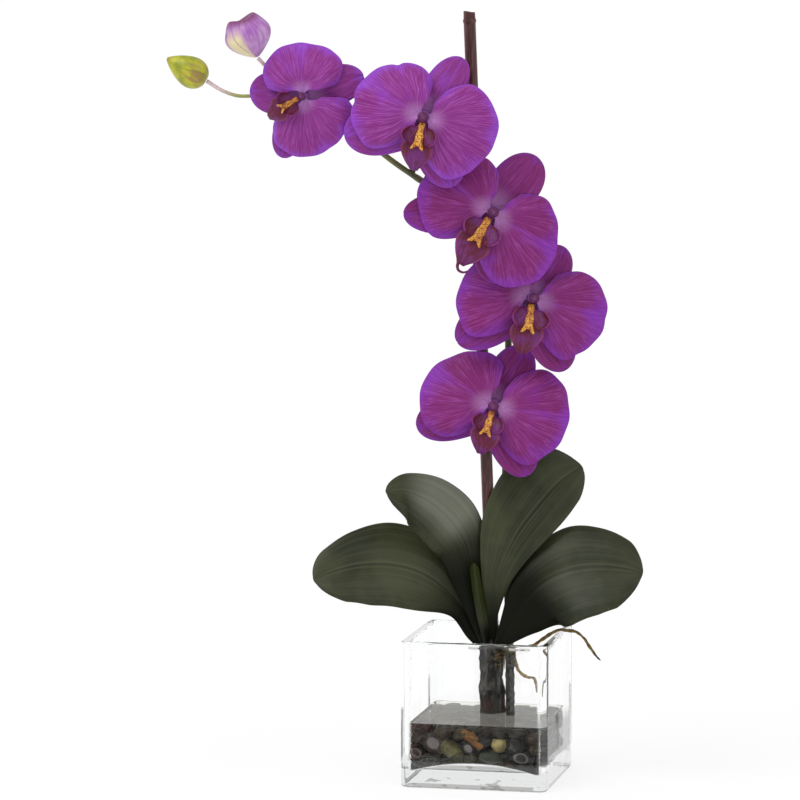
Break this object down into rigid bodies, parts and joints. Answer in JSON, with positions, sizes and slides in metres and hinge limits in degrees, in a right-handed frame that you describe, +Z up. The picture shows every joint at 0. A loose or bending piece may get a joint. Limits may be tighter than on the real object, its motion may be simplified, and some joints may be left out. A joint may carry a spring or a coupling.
{
  "type": "potted moth orchid",
  "caption": "Moth orchid with an arching spike of purple blooms and buds, dark strap leaves and a stake, rooted in river stones and water in a square clear glass vase.",
  "frame": {"origin": "middle of the vase's flat underside, on the surface it stands on", "axes": "+Z up along the vase's middle; +X to the right and -Y towards the viewer, square to the vase's side walls and front wall"},
  "size_m": [0.3131, 0.1495, 0.5289],
  "materials": {
    "glass": "clear polished glass",
    "water": "still water surface, slightly cloudy",
    "pebble": "wet polished river stones, mostly black and olive",
    "stump": "dark rough plant base with fibres",
    "stake": "smooth brown cane",
    "root": "dry air root",
    "leaf": "leathery dark green leaf",
    "young_leaf": "fresh green leaf",
    "stem": "dark green stem",
    "petal": "velvety purple petal with pale veins",
    "lip": "waxy maroon lip",
    "callus": "yellow ridge with red specks",
    "lilac_bud": "pale lilac opening bud",
    "green_bud": "closed yellow-green bud"
  },
  "bodies": {
    "root": {"vase": "glass", "pebbles": "pebble", "water": "water", "crown": "stump", "stake": "stake", "leaf_low_left": "leaf", "leaf_upper_left": "leaf", "leaf_upper_right": "leaf", "leaf_low_right": "leaf", "leaf_young": "young_leaf", "root_over_rim": "root", "root_in_vase": "root", "flower_spike": "stem", "bud_lilac": "lilac_bud", "bud_green": "green_bud", "bloom_1_petals": "petal", "bloom_1_lip": "lip", "bloom_1_callus": "callus", "bloom_2_petals": "petal", "bloom_2_lip": "lip", "bloom_2_callus": "callus", "bloom_3_petals": "petal", "bloom_3_lip": "lip", "bloom_3_callus": "callus", "bloom_4_petals": "petal", "bloom_4_lip": "lip", "bloom_4_callus": "callus", "bloom_5_petals": "petal", "bloom_5_lip": "lip", "bloom_5_callus": "callus"}
  },
  "joints": []
}
